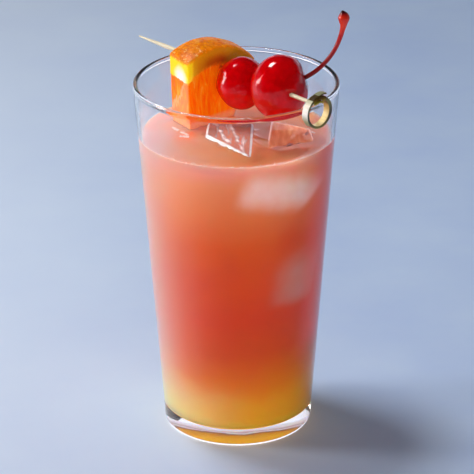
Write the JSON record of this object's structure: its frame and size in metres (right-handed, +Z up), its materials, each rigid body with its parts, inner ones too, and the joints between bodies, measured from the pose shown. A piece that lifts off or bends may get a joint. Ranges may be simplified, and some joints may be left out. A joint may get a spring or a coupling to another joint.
{
  "type": "sex on the beach cocktail",
  "caption": "Tall tapered tumbler of peach-red mixed drink over an orange layer, with ice and a bamboo pick of orange slice and cherries across the rim.",
  "frame": {"origin": "on the glass's axis, in the plane of its foot", "axes": "+Z up through the rim, -Y towards the drinker, +X to the drinker's right"},
  "size_m": [0.0861, 0.0923, 0.1834],
  "materials": {
    "clear_glass": "clear, polished",
    "orange_juice": "cloudy liquid",
    "mixed_drink": "cloudy liquid",
    "ice": "wet, clear to milky",
    "orange": "waxy rind and wet cut flesh",
    "cherry": "wet, glossy",
    "bamboo": "smooth, unvarnished"
  },
  "bodies": {
    "root": {"tumbler_glass": "clear_glass", "drink_juice_layer": "orange_juice", "drink_mixed": "mixed_drink", "ice_centre": "ice", "ice_right": "ice", "orange_slice": "orange", "cherry_back": "cherry", "cherry_front": "cherry", "bamboo_pick": "bamboo"}
  },
  "joints": []
}
